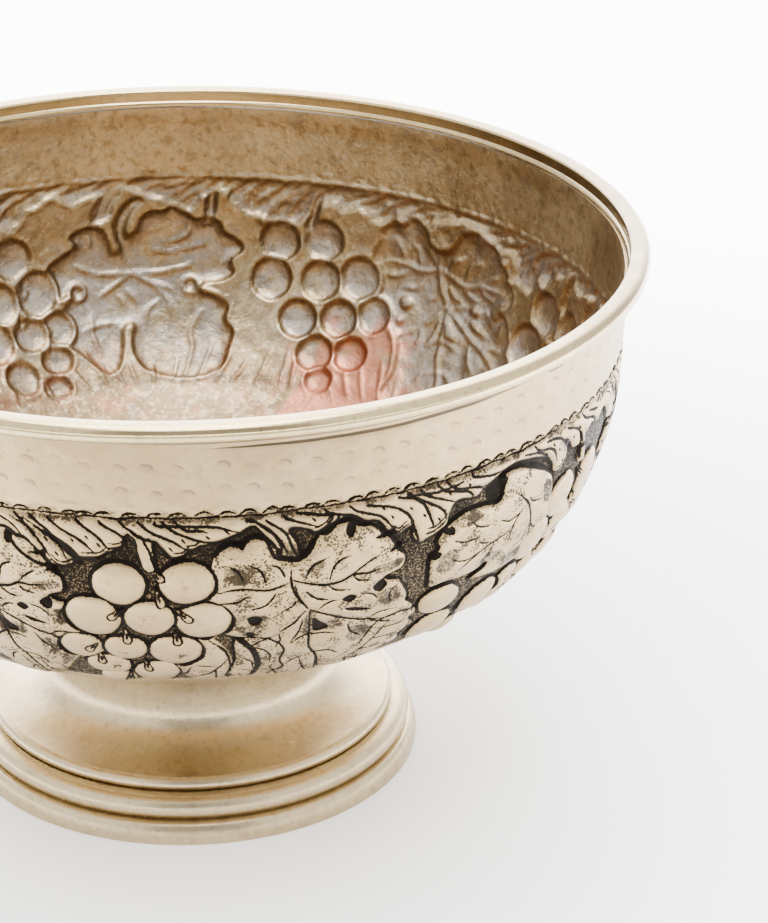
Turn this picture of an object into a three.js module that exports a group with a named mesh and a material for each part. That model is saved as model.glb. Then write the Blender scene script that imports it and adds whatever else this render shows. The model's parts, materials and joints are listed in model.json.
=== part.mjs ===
// Footed punch bowl in silver-plated copper: a raised and chased bowl with an applied rim
// moulding, standing on a spun, stepped foot. Millimetres, +Z up. The origin is the centre of
// the circle on which the foot rests, and every piece is turned about the Z axis.

import * as THREE from 'three';

// ---- driving dimensions ----
const SEGMENTS = 60; // facets round the axis, the same on every piece
const GAP = 0.3; // clearance left between pieces that touch on the real bowl

const BOWL_SHEET = 1.4; // wall of the raised bowl
const FOOT_SHEET = 1.2; // wall of the spun foot
const COLLAR_TOP_RADIUS = 153.4; // outside of the plain collar under the rim
const COLLAR_TOP_HEIGHT = 186.2;
const COLLAR_FOOT_RADIUS = 151.1; // outside of the collar where the chased work starts
const COLLAR_FOOT_HEIGHT = 160;
const BOWL_BOTTOM_HEIGHT = 57; // underside of the bowl on the axis

const RIM_RADIUS = 160; // outermost edge of the rim moulding
const RIM_TOP = 193.2; // overall height of the bowl
const RIM_BOTTOM = 186.9; // lower edge of the moulding, outside
const RIM_INNER_RADIUS = 152.8; // upright inner face of the moulding
const RIM_SHEET = 1.0; // metal the moulding is rolled from
const RIM_CREST_WIDTH = 1.1; // the moulding's top slopes down towards its inner face over
const RIM_CREST_DROP = 0.25; // this width, by this much,
const RIM_EDGE_DROP = 1.3; // and its inner edge is rounded down to here
const CORE_WIRE_RADIUS = 1.5;
const CORE_WIRE_INSET = 0.2; // from the middle of the moulding's half-round, inwards
const RIM_SOLDER_WIDTH = 2.6;
const RIM_SOLDER_HEIGHT = 1.5;

const NECK_RADIUS = 49.8; // narrowest part of the foot, outside
const NECK_HEIGHT = 34.5;
const FOOT_TOP_HEIGHT = 61; // where the foot's flared top stops under the bowl
const FOOT_TOP_FLARE = 60; // how far round its ellipse the top flares, degrees
const CONE_EDGE_RADIUS = 71; // outer edge of the flared cone
const CONE_EDGE_HEIGHT = 20.6;
const CONE_LIP_RADIUS = 72.8; // small bead that ends the cone
const CONE_LIP_BOTTOM = 16.4;
const CONE_LIP_ROUNDING = 0.4; // the bead's top and bottom stand in from its middle
const CONE_LIP_TOP_DROP = 0.9; // from the cone's edge down to the bead's top
const CONE_LIP_MIDDLE = 1.2; // height of the bead's middle above its bottom
const STEP_RADIUS = 78.9; // round step moulding, outermost
const STEP_TOP = 16.1;
const STEP_BOTTOM = 8.1;
const STEP_ROUNDNESS = 0.57; // radius of the step's round, as a share of its height
const STEP_TUCK = 3.6; // how far the step's flat top runs in under the cone's bead
const STEP_WALL = 2.6; // width of the step's lower edge
const BASE_RADIUS = 81.8; // band that stands on the table
const BASE_TOP = 7.8;
const BASE_UPRIGHT = 1.6; // height of the band before it rounds over
const BASE_INNER_RADIUS = 76.4;
const FOOT_SOLDER_WIDTH = 3;
const FOOT_SOLDER_HEIGHT = 2;

// ---- finishes ----
const bowlSilver = { color: 0xcfc6b4, roughness: 0.34, metalness: 1 };
const rimSilver = { color: 0xdad4c6, roughness: 0.26, metalness: 1 };
const footSilver = { color: 0xd5cbb6, roughness: 0.28, metalness: 1 };
const copperWire = { color: 0xb56a48, roughness: 0.4, metalness: 1 };
const solder = { color: 0x8f8a80, roughness: 0.55, metalness: 1 };

const point = (radius, height) => new THREE.Vector2(radius, height);

// Points along an ellipse, from one angle to another in degrees.
function ellipseArc(centre, width, height, fromDegrees, toDegrees, steps) {
  const points = [];
  for (let i = 0; i <= steps; i += 1) {
    const angle = THREE.MathUtils.degToRad(fromDegrees + ((toDegrees - fromDegrees) * i) / steps);
    points.push(point(centre.x + width * Math.cos(angle), centre.y + height * Math.sin(angle)));
  }
  return points;
}

// The same outline moved sideways by a distance, to the right of its direction when positive.
function offset(outline, distance) {
  return outline.map((here, i) => {
    const before = outline[Math.max(i - 1, 0)];
    const after = outline[Math.min(i + 1, outline.length - 1)];
    const along = after.clone().sub(before).normalize();
    return point(here.x + along.y * distance, here.y - along.x * distance);
  });
}

function signedArea(outline) {
  return outline.reduce((sum, here, i) => {
    const next = outline[(i + 1) % outline.length];
    return sum + (here.x * next.y - next.x * here.y) / 2;
  }, 0);
}

// Turns an outline in the radius-height plane about the Z axis. A ring's outline closes on
// itself; a solid's starts and ends on the axis.
function turned(name, outline, finish) {
  const ordered = signedArea(outline) > 0 ? outline.slice() : outline.slice().reverse();
  const startsOnAxis = ordered[0].x === 0 && ordered[ordered.length - 1].x === 0;
  if (!startsOnAxis) ordered.push(ordered[0].clone());
  const geometry = new THREE.LatheGeometry(ordered, SEGMENTS);
  geometry.rotateX(Math.PI / 2);
  const mesh = new THREE.Mesh(geometry, new THREE.MeshStandardMaterial(finish));
  mesh.name = name;
  return mesh;
}

// ---- bowl ----
// Outside of the bowl from its bottom up to the foot of the collar.
const belly = new THREE.SplineCurve([
  point(0, BOWL_BOTTOM_HEIGHT),
  point(38, 58.6),
  point(80, 67),
  point(110.6, 80),
  point(129.2, 96),
  point(139.3, 112),
  point(146, 128),
  point(149.4, 144),
  point(COLLAR_FOOT_RADIUS, COLLAR_FOOT_HEIGHT),
]);

function bowlShell() {
  const outside = belly.getSpacedPoints(13);
  outside.push(point(COLLAR_TOP_RADIUS, COLLAR_TOP_HEIGHT));
  const inside = offset(outside, -BOWL_SHEET);
  inside[0].x = 0;
  inside[inside.length - 1].y = COLLAR_TOP_HEIGHT;
  return turned('bowl_shell', outside.concat(inside.reverse()), bowlSilver);
}

// ---- rim ----
// The moulding is rolled from sheet: half-round outside, nearly flat on top, an upright inner
// face that stands on the bowl's edge, and a slot underneath.
function rimMoulding() {
  const halfHeight = (RIM_TOP - RIM_BOTTOM) / 2;
  const middle = (RIM_TOP + RIM_BOTTOM) / 2;
  const beadCentre = point(RIM_RADIUS - halfHeight, middle);
  const outside = ellipseArc(beadCentre, halfHeight, halfHeight, -90, 90, 6);
  outside.push(point(RIM_INNER_RADIUS + RIM_CREST_WIDTH, RIM_TOP - RIM_CREST_DROP));
  outside.push(point(RIM_INNER_RADIUS, RIM_TOP - RIM_EDGE_DROP));
  outside.push(point(RIM_INNER_RADIUS, COLLAR_TOP_HEIGHT + GAP));
  const hollow = halfHeight - RIM_SHEET;
  const inside = [point(RIM_INNER_RADIUS + RIM_SHEET, COLLAR_TOP_HEIGHT + GAP)];
  inside.push(point(RIM_INNER_RADIUS + RIM_SHEET, RIM_TOP - RIM_SHEET - RIM_CREST_DROP));
  inside.push(...ellipseArc(beadCentre, hollow, hollow, 90, -90, 4));
  return turned('rim_moulding', outside.concat(inside), rimSilver);
}

function rimCoreWire() {
  const halfHeight = (RIM_TOP - RIM_BOTTOM) / 2;
  const centre = point(RIM_RADIUS - halfHeight - CORE_WIRE_INSET, (RIM_TOP + RIM_BOTTOM) / 2);
  const section = ellipseArc(centre, CORE_WIRE_RADIUS, CORE_WIRE_RADIUS, 0, 315, 7);
  return turned('rim_core_wire', section, copperWire);
}

// Fillet of solder in the corner under the moulding.
function rimSolder() {
  const wall = COLLAR_TOP_RADIUS + GAP;
  const top = COLLAR_TOP_HEIGHT;
  const corner = [
    point(wall, top - RIM_SOLDER_HEIGHT),
    point(wall + RIM_SOLDER_WIDTH, top),
    point(wall, top),
  ];
  return turned('rim_solder', corner, solder);
}

// ---- foot ----
// Hollow flared cone. Its bead overhangs the step moulding, and its top flares out again
// under the bowl.
function footCone() {
  const reach = CONE_EDGE_RADIUS - NECK_RADIUS;
  const centre = point(CONE_EDGE_RADIUS, NECK_HEIGHT);
  const lipEnds = CONE_LIP_RADIUS - CONE_LIP_ROUNDING;
  const outside = [point(lipEnds, CONE_LIP_BOTTOM)];
  outside.push(point(CONE_LIP_RADIUS, CONE_LIP_BOTTOM + CONE_LIP_MIDDLE));
  outside.push(point(lipEnds, CONE_EDGE_HEIGHT - CONE_LIP_TOP_DROP));
  outside.push(...ellipseArc(centre, reach, NECK_HEIGHT - CONE_EDGE_HEIGHT, -90, -180, 6));
  const flare = THREE.MathUtils.degToRad(FOOT_TOP_FLARE);
  const rise = (FOOT_TOP_HEIGHT - NECK_HEIGHT) / Math.sin(flare);
  outside.push(...ellipseArc(centre, reach, rise, 180, 180 - FOOT_TOP_FLARE, 4).slice(1));
  const inside = offset(outside, -FOOT_SHEET);
  inside[0].y = CONE_LIP_BOTTOM;
  return turned('foot_cone', outside.concat(inside.reverse()), footSilver);
}

function footStepRing() {
  const drop = STEP_TOP - STEP_BOTTOM;
  const roundness = drop * STEP_ROUNDNESS;
  const centre = point(STEP_RADIUS - roundness, STEP_TOP - roundness);
  const outside = ellipseArc(centre, roundness, roundness, -45, 90, 6);
  outside.push(point(CONE_LIP_RADIUS - STEP_TUCK, STEP_TOP));
  outside.push(point(CONE_LIP_RADIUS - STEP_TUCK, STEP_TOP - FOOT_SHEET));
  outside.push(point(centre.x, STEP_TOP - FOOT_SHEET));
  outside.push(point(STEP_RADIUS - STEP_WALL, STEP_BOTTOM));
  return turned('foot_step_ring', outside, footSilver);
}

function footBaseBand() {
  const rounding = BASE_TOP - BASE_UPRIGHT;
  const shoulder = BASE_RADIUS - rounding / 2;
  const outside = [point(BASE_INNER_RADIUS, 0), point(BASE_RADIUS, 0)];
  outside.push(...ellipseArc(point(shoulder, BASE_UPRIGHT), rounding / 2, rounding, 0, 90, 4));
  outside.push(point(BASE_INNER_RADIUS, BASE_TOP));
  return turned('foot_base_band', outside, footSilver);
}

// Ring of solder that joins the flared top of the foot to the underside of the bowl.
function footSolder() {
  const reach = CONE_EDGE_RADIUS - NECK_RADIUS;
  const flare = THREE.MathUtils.degToRad(FOOT_TOP_FLARE);
  const inner = CONE_EDGE_RADIUS - reach * Math.cos(flare) + GAP;
  const middle = FOOT_TOP_HEIGHT + GAP;
  const lowest = point(inner + GAP, middle - FOOT_SOLDER_HEIGHT / 2);
  const outermost = point(inner + FOOT_SOLDER_WIDTH, middle + FOOT_SOLDER_HEIGHT / 2);
  const highest = point(inner, middle + GAP);
  return turned('foot_solder', [lowest, outermost, highest], solder);
}

const punchBowl = new THREE.Group();
punchBowl.name = 'punch_bowl';
punchBowl.add(bowlShell(), rimMoulding(), rimCoreWire(), rimSolder());
punchBowl.add(footCone(), footStepRing(), footBaseBand(), footSolder());

export default punchBowl;
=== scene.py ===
"""A footed punch bowl in worn silver plate, with a chased frieze of vine leaves and grapes."""

import json
import math

import bpy
import numpy as np
from mathutils import Matrix, Vector

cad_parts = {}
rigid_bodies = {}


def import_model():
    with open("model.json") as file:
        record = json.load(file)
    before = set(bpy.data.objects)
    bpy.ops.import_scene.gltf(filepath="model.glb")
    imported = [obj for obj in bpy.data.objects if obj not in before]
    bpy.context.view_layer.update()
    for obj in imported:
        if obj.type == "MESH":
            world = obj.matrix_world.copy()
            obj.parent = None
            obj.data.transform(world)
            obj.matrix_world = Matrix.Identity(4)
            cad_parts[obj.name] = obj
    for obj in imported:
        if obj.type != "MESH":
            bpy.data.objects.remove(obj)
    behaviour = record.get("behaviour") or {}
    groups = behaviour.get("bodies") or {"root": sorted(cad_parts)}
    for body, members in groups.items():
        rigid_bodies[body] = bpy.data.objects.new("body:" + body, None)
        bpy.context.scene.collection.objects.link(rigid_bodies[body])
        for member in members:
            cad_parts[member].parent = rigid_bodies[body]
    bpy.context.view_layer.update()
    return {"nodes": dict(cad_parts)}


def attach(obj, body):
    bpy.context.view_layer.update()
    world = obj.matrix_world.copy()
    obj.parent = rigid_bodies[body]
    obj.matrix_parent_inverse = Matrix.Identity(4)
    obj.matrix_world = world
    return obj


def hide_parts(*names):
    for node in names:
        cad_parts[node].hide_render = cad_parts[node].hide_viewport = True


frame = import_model()

# ---------------------------------------------------------------------------------------
# Sizes in millimetres. A place on the wall is (degrees round, millimetres down the wall),
# counted from the front and from the top edge.
# ---------------------------------------------------------------------------------------
MM = 0.001
WALL_RADIUS = 150                       # the radius at which a degree is measured
DEGREE = WALL_RADIUS * math.pi / 180    # length of a degree there
EDGE_FADE = 0.8                         # width over which a mark's edge fades
OUTLINE = [(153.6, 190), (153.4, 186.4), (152.4, 172.8), (151.1, 160), (149.4, 144), (146, 128),
           (139.3, 112), (129.2, 96), (110.6, 80), (80, 67.2), (45, 59), (0, 57)]
SHEET = 1.4
COLLAR_START = 3.8
FRIEZE_START = 27.0
FRIEZE_END = 118.0
PANELS = 8
PANEL_COLUMNS = 296
FRIEZE_ROWS = 228
COLLAR_COLUMNS = 1184
COLLAR_ROWS = 30
rng = np.random.default_rng(7)


def spline(knots, values, at):
    """Smooth curve through values at the knots."""
    count = len(knots)
    gaps = np.diff(knots)
    table = np.eye(count)
    right = np.zeros_like(values)
    for i in range(1, count - 1):
        table[i, i - 1:i + 2] = gaps[i - 1], 2 * (gaps[i - 1] + gaps[i]), gaps[i]
        right[i] = 6 * ((values[i + 1] - values[i]) / gaps[i]
                        - (values[i] - values[i - 1]) / gaps[i - 1])
    bend = np.linalg.solve(table, right)
    k = np.clip(np.searchsorted(knots, at) - 1, 0, count - 2)
    gap = gaps[k][:, None]
    a = (knots[k + 1] - at)[:, None] / gap
    b = 1 - a
    return (a * values[k] + b * values[k + 1]
            + ((a ** 3 - a) * bend[k] + (b ** 3 - b) * bend[k + 1]) * gap ** 2 / 6)


OUTLINE_POINTS = np.array(OUTLINE, float)
OUTLINE_KNOTS = np.concatenate([[0], np.cumsum(np.hypot(*np.diff(OUTLINE_POINTS, axis=0).T))])


def wall_at(down):
    """Radius, height and outward direction of the wall at distances down it."""
    down = np.asarray(down, float)
    here = spline(OUTLINE_KNOTS, OUTLINE_POINTS, down)
    ahead = spline(OUTLINE_KNOTS, OUTLINE_POINTS, down + 0.05)
    back = spline(OUTLINE_KNOTS, OUTLINE_POINTS, down - 0.05)
    run = ahead - back
    run /= np.hypot(run[:, 0], run[:, 1])[:, None]
    return here, np.stack([-run[:, 1], run[:, 0]], 1)


def smooth(value, low, high):
    """0 below low, 1 above high, and an even curve between."""
    t = np.clip((value - low) / (high - low), 0, 1)
    return t * t * (3 - 2 * t)


def covered(d):
    """How fully a place is covered, from its distance inside an edge."""
    return np.clip(0.5 + d / EDGE_FADE, 0, 1)


def flowing(points, closed=False):
    """The points with a smooth curve run through them."""
    p = np.array(points, float)
    p[:, 0] *= DEGREE
    if len(p) == 2 and not closed:
        return np.linspace(p[0], p[1], 4)
    if closed:
        p = np.vstack([p[-1], p, p[0], p[1]])
    else:
        p = np.vstack([2 * p[0] - p[1], p, 2 * p[-1] - p[-2]])
    t = np.linspace(0, 1, 5)[:-1, None]
    pieces = []
    for a, b, c, d in zip(p[:-3], p[1:-2], p[2:-1], p[3:]):
        pieces.append(0.5 * (2 * b + (c - a) * t + (2 * a - 5 * b + 4 * c - d) * t ** 2
                             + (3 * b - a - 3 * c + d) * t ** 3))
    pieces.append(p[-2:-1])
    return np.vstack(pieces)


# ---------------------------------------------------------------------------------------
# The chaser's work on a band of the wall
# ---------------------------------------------------------------------------------------
class Chasing:
    """Height of the relief, blackness of the lines and closeness of the stipple over a band."""

    def __init__(self, start, end, rows, columns):
        self.down = np.linspace(start, end, rows + 1)
        self.columns = columns
        self.step = 360 * DEGREE / columns
        self.widen = wall_at(self.down)[0][:, 0] / WALL_RADIUS
        shape = (rows + 1, columns)
        self.height = np.zeros(shape)
        self.line = np.zeros(shape)
        self.dots = np.zeros(shape)
        self.motif = np.zeros(shape)

    def part(self, path, margin):
        """The part of the band within a margin of a path, and its places in millimetres."""
        left = int((path[:, 0].min() - margin * 1.5) // self.step)
        right = int((path[:, 0].max() + margin * 1.5) // self.step) + 2
        across = np.arange(left, right)
        rows = np.nonzero((self.down > path[:, 1].min() - margin)
                          & (self.down < path[:, 1].max() + margin))[0]
        where = np.ix_(rows, across % self.columns)
        return where, (across * self.step)[None, :], self.down[rows][:, None], self.widen[rows][:, None]

    def distance(self, path, x, y, widen):
        """Distance to a path in millimetres, and how far along it the nearest spot is, 0 to 1."""
        nearest = np.full((y.shape[0], x.shape[1]), 1e9)
        along = np.zeros_like(nearest)
        for i in range(len(path) - 1):
            (x0, y0), (x1, y1) = path[i], path[i + 1]
            ex = (x1 - x0) * widen
            ey = y1 - y0
            dx = (x - x0) * widen
            dy = y - y0
            t = np.clip((dx * ex + dy * ey) / np.maximum(ex * ex + ey * ey, 1e-9), 0, 1)
            d = np.hypot(dx - t * ex, dy - t * ey)
            closer = d < nearest
            nearest = np.where(closer, d, nearest)
            along = np.where(closer, (i + t) / (len(path) - 1), along)
        return nearest, along

    def cut(self, points, width=0.9, depth=0.3, dark=1.0, taper=(0.5, 0.3), closed=False):
        """A groove of a tracing tool: its width in the middle, thinner towards both ends."""
        path = flowing(points, closed)
        where, x, y, widen = self.part(path, width + 1.6)
        if not where[0].size:
            return
        d, t = self.distance(path, x, y, widen)
        thin = np.ones_like(t)
        if not closed:
            thin = np.minimum(taper[0] + (1 - taper[0]) * t * 4, 1)
            thin = np.minimum(thin, taper[1] + (1 - taper[1]) * (1 - t) * 4)
        half = width / 2 * thin
        mark = covered(half - d) * dark
        self.line[where] = np.maximum(self.line[where], mark)
        self.height[where] -= depth * thin * np.exp(-(d / (half + 0.25)) ** 2)

    def inside(self, points):
        """Where an outline lies on the band, and the distance inside it, negative outside."""
        path = flowing(points, True)
        where, x, y, widen = self.part(path, 2.5)
        d, _ = self.distance(path, x, y, widen)
        within = np.zeros(d.shape, bool)
        for (x0, y0), (x1, y1) in zip(path[:-1], path[1:]):
            if y0 == y1:
                continue
            crosses = (y0 > y) != (y1 > y)
            within ^= crosses & (x < (x1 - x0) * (y - y0) / (y1 - y0) + x0)
        return where, np.where(within, d, -d)

    def raised(self, points, height, rounding, dots=0.0):
        """A leaf or lobe beaten up from behind, rounded towards its outline."""
        where, d = self.inside(points)
        rise = height * np.sqrt(smooth(d, -0.4, rounding))
        self.height[where] = np.maximum(self.height[where], rise)
        self.motif[where] = np.maximum(self.motif[where], covered(d))
        self.dots[where] = np.where(d > 0.4, dots, self.dots[where])

    def filled(self, points, dark=1.0, depth=0.3):
        """A patch punched down and left black."""
        where, d = self.inside(points)
        self.line[where] = np.maximum(self.line[where], covered(d) * dark)
        self.height[where] -= depth * smooth(d, -0.6, 0.8)

    def smoked(self, points, amount):
        """A patch of close stipple that fades at its edge."""
        where, d = self.inside(points)
        self.dots[where] = np.maximum(self.dots[where], amount * smooth(d, -2.0, 1.2))
        self.height[where] -= 0.35 * smooth(d, -1.5, 2.5)

    def dome(self, centre, across, downwards, height, lean=0.0):
        """A grape: a low dome with a plain skin."""
        ring = np.array([[centre[0] * DEGREE - across, centre[1] - downwards],
                         [centre[0] * DEGREE + across, centre[1] + downwards]])
        where, x, y, widen = self.part(ring, 2.5)
        dx = (x - centre[0] * DEGREE) * widen
        dy = y - centre[1]
        c, s = math.cos(lean), math.sin(lean)
        far = np.hypot((c * dx + s * dy) / across, (c * dy - s * dx) / downwards)
        mean = (across + downwards) / 2
        d = (1 - far) * mean
        within = d > 0
        rise = height * np.sqrt(np.clip(1 - far ** 2, 0, 1)) ** 1.3 - 0.2
        cover = covered(d)
        self.height[where] = self.height[where] * (1 - cover) + np.maximum(rise, 0) * cover
        self.line[where] = np.where(within, self.line[where] * (1 - cover), self.line[where])
        self.dots[where] = np.where(within, 0.06, self.dots[where])
        self.motif[where] = np.maximum(self.motif[where], cover)

    def ring(self, centre, across, downwards, width, lean=0.0):
        """The outline round a grape."""
        c, s = math.cos(lean), math.sin(lean)
        widen = float(np.interp(centre[1], self.down, self.widen))
        points = []
        for a in np.linspace(0, 2 * math.pi, 17)[:-1]:
            px = across * math.cos(a) * (1 + 0.018 * rng.normal())
            py = downwards * math.sin(a) * (1 + 0.018 * rng.normal())
            points.append((centre[0] + (c * px - s * py) / DEGREE / widen,
                           centre[1] + s * px + c * py))
        self.cut(points, width, 0.35, closed=True)

    def drop(self, top, bottom, width=2.0):
        """A small teardrop stalk end: pale, with a thin outline."""
        (u0, s0), (u1, s1) = top, bottom
        run = np.array([(u1 - u0) * DEGREE, s1 - s0])
        length = float(np.hypot(*run))
        run /= length
        side = np.array([run[1], -run[0]])
        start = np.array([u0 * DEGREE, s0])
        points = []
        for along, out in ((0, 0.1), (0.35, 0.3), (0.7, 0.5), (0.9, 0.42), (1.0, 0.0)):
            points.append(start + run * length * along + side * width * out)
        for along, out in ((0.9, 0.42), (0.7, 0.5), (0.35, 0.3), (0.0, 0.1)):
            points.append(start + run * length * along - side * width * out)
        points = [(px / DEGREE, py) for px, py in points]
        where, d = self.inside(points)
        cover = covered(d)
        self.height[where] = np.maximum(self.height[where], 1.1 * smooth(d, -0.2, 0.9))
        self.line[where] = self.line[where] * (1 - cover)
        self.dots[where] = np.where(d > 0, 0, self.dots[where])
        self.motif[where] = np.maximum(self.motif[where], cover)
        self.cut(points, 0.7, 0.2, closed=True)
        middle = [start + run * length * 0.25, start + run * length * 0.65]
        self.cut([(px / DEGREE, py) for px, py in middle], 0.9, 0.2, 1.0)

    def blurred(self, values, radius):
        """The values smoothed over a radius in millimetres."""
        steps = max(1, int(round(radius / self.step * 2)))
        weights = np.exp(-np.linspace(-2, 2, 2 * steps + 1) ** 2)
        weights /= weights.sum()
        out = sum(w * np.roll(values, k - steps, 1) for k, w in enumerate(weights))
        padded = np.pad(out, ((steps, steps), (0, 0)), "edge")
        return sum(w * padded[k:k + len(values)] for k, w in enumerate(weights))


frieze = Chasing(FRIEZE_START, FRIEZE_END, FRIEZE_ROWS, PANELS * PANEL_COLUMNS)

# ---- the vine leaf, drawn round the place where its stem meets it --------------------
LEAF_CENTRE = 10.5
LEAF_EDGE = [(0.3, 45), (1, 42.5), (2.2, 41), (3.4, 41.8), (4.3, 39.5), (5.5, 39), (6.8, 41),
             (7.8, 44.5), (8.1, 47), (9.2, 48.3), (10.3, 48.5), (11.5, 46.5), (12.3, 43), (13, 40),
             (14.5, 38), (16, 37.3), (17, 38), (18, 39.7), (19.5, 40.5), (20.8, 43.5), (21.3, 45),
             (22, 46), (23, 49.5), (23.5, 52), (24.5, 54.5), (24.8, 57.5), (24.5, 60.5), (23, 62),
             (22.2, 63), (24.3, 65), (25.5, 69.5), (26.5, 74), (26.6, 77), (28, 80), (28.3, 84),
             (26, 90), (23, 98), (20.5, 107), (17, 116), (12, 117), (8, 113), (6, 108), (6.6, 100),
             (6.3, 94), (5.5, 88), (4, 83), (2.2, 80.5), (0.5, 78), (-1, 70), (-1, 60), (-0.3, 52)]
LEAF_BLACK_EDGES = [
    (LEAF_EDGE[0:8], 2.0), (LEAF_EDGE[7:13], 2.4), (LEAF_EDGE[12:20], 1.5), (LEAF_EDGE[19:25], 1.9),
    (LEAF_EDGE[24:30], 1.5), (LEAF_EDGE[29:35], 1.3), (LEAF_EDGE[41:48], 2.2)]
LEAF_VEINS = [
    ([(0.7, 59), (2.2, 57.8), (4.5, 58), (6.5, 59), (8.3, 58), (9.7, 56.3)], 0.8),
    ([(9.8, 56.2), (12, 58.5), (14, 59.8), (16, 59.3), (17.3, 57.8), (19.5, 58), (21.5, 57.5)], 1.0),
    ([(17.3, 57.5), (19, 54), (20.7, 51.8)], 0.7), ([(17.3, 58), (18.3, 60.5), (20, 61.3)], 0.7),
    ([(9.4, 52), (9.5, 57), (10.3, 63), (12, 69.5)], 0.8),
    ([(10, 58), (10.6, 63.5), (12, 69)], 0.6),
    ([(2, 49), (3, 51), (4, 56.5)], 0.8), ([(4.2, 48.5), (5.8, 51.5), (6.5, 58)], 0.7),
    ([(6.8, 49.3), (8, 51), (8.8, 55)], 0.7), ([(1, 63), (3, 63), (4.6, 60)], 0.8),
    ([(4.5, 66.5), (6.5, 65.5), (7.8, 60)], 0.7), ([(8.7, 69), (10, 67), (10.2, 64.5)], 0.7),
    ([(11.2, 56), (12, 52), (14, 49)], 0.9), ([(14.3, 58), (15, 52), (17, 49.5)], 0.8),
    ([(11.5, 61.5), (12.8, 65), (14.5, 66.3)], 0.9), ([(14.3, 60.5), (15.5, 63), (17.3, 63.7)], 0.7),
    ([(12.3, 70), (15, 74), (18, 78), (20.8, 80.5), (24, 82.5)], 0.9),
    ([(13.5, 70), (14.5, 68), (15.8, 67.3)], 0.7), ([(20.8, 80.3), (22.5, 78.3), (25, 78.5)], 0.7),
    ([(20.9, 80.7), (23, 83.5), (25.5, 86)], 0.7), ([(18, 80.5), (19, 86), (21, 90)], 0.7),
    ([(12.3, 70), (12.7, 80), (13.3, 90), (15, 98), (16, 110), (16.3, 117)], 0.9),
    ([(11.7, 70), (10.3, 75.5), (8.6, 79.5)], 0.9), ([(8.4, 80.5), (6, 84), (5, 85.5)], 0.8),
    ([(8.6, 80), (9, 84), (8.5, 88)], 0.7), ([(11.5, 74), (11.3, 80), (10.3, 86.5)], 0.7),
    ([(10.7, 86), (12, 83), (14.5, 83), (16.5, 84.5)], 0.8),
    ([(10.7, 101.5), (11.5, 97), (13.3, 94.8)], 0.7), ([(13.5, 94.8), (16, 94.5), (18.5, 98.5)], 0.7),
    ([(13, 110), (14, 105.5), (17, 104.5), (19.5, 108)], 0.7),
    ([(24.6, 66), (23.2, 70), (23.5, 74)], 0.6), ([(18.5, 66), (20.5, 68), (21.5, 71)], 0.6)]
LEAF_DARK = [
    [(2.6, 40.6), (3.9, 40.8), (3.6, 43.6)], [(16.3, 38.5), (17.4, 39.6), (16.8, 43.2), (16.0, 41.5)],
    [(19.8, 45.5), (21.5, 44.5), (22.6, 43.2), (22.2, 46.5)], [(21.9, 52.2), (23.4, 49.6), (24.0, 51.5)],
    [(20.3, 65), (21.7, 62.8), (22.5, 65.5), (21.5, 68)],
    [(12.9, 74.5), (13.8, 76), (15.3, 80.5), (13.3, 81)], [(17, 72), (19, 73), (21, 75.3), (18.2, 74.4)],
    [(16.3, 67.7), (17.3, 65.9), (18.4, 67.5), (17.4, 69.4)],
    [(4.3, 71), (5.6, 70), (6.4, 72.5), (5.2, 75)], [(4.4, 78.3), (5.5, 78.7), (5.3, 81), (4.5, 80.5)]]
LEAF_SMOKE = [
    [(12.1, 71), (13.2, 71.5), (13.4, 81), (12.2, 83), (11.6, 76)], [(1.5, 48.5), (3.5, 48),
    (5, 50.5), (5, 54.5), (3, 56), (1.5, 53)], [(8, 41.5), (10, 43), (10.5, 47), (9, 47.5)],
    [(19, 83), (22, 85), (21, 92), (18.5, 90)], [(7, 92.5), (9, 93), (9.2, 95.6), (7.2, 95.2)],
    [(11.5, 51), (13.5, 50), (13.2, 54.5), (12, 55.5)], [(19.8, 56.5), (23.5, 55.5), (23.8, 58.5),
    (21, 60)], [(14.8, 76), (17, 78.5), (16.5, 82), (14.6, 81)], [(3, 70), (6.5, 69.5), (7, 75),
    (5.5, 80), (3.5, 79)], [(21, 68.5), (24, 67.5), (25, 73), (22.8, 74.5)], [(6.5, 101), (9, 99),
    (11, 106), (9, 113), (7, 110)], [(22.5, 88), (25, 86), (23, 97), (20.5, 101)]]


def vine_leaf(centre, left=1.0, right=1.0, drop=0.0, flip=False):
    """The vine leaf at another place round the bowl, wider or narrower on either side."""
    def at(points):
        moved = []
        for u, s in points:
            away = (LEAF_CENTRE - u) if flip else (u - LEAF_CENTRE)
            moved.append((centre + away * (right if away > 0 else left), s + drop))
        return moved
    frieze.raised(at(LEAF_EDGE), 1.25, 7.0, 0.42)
    for points in LEAF_SMOKE:
        frieze.smoked(at(points), 1.0)
    for points, width in LEAF_BLACK_EDGES:
        frieze.cut(at(points), width, 0.5, taper=(0.7, 0.6))
    for points, width in LEAF_VEINS:
        frieze.cut(at(points), width * 1.15, 0.4)
    for points in LEAF_DARK:
        frieze.filled(at(points), 1.0, 0.6)


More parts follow.
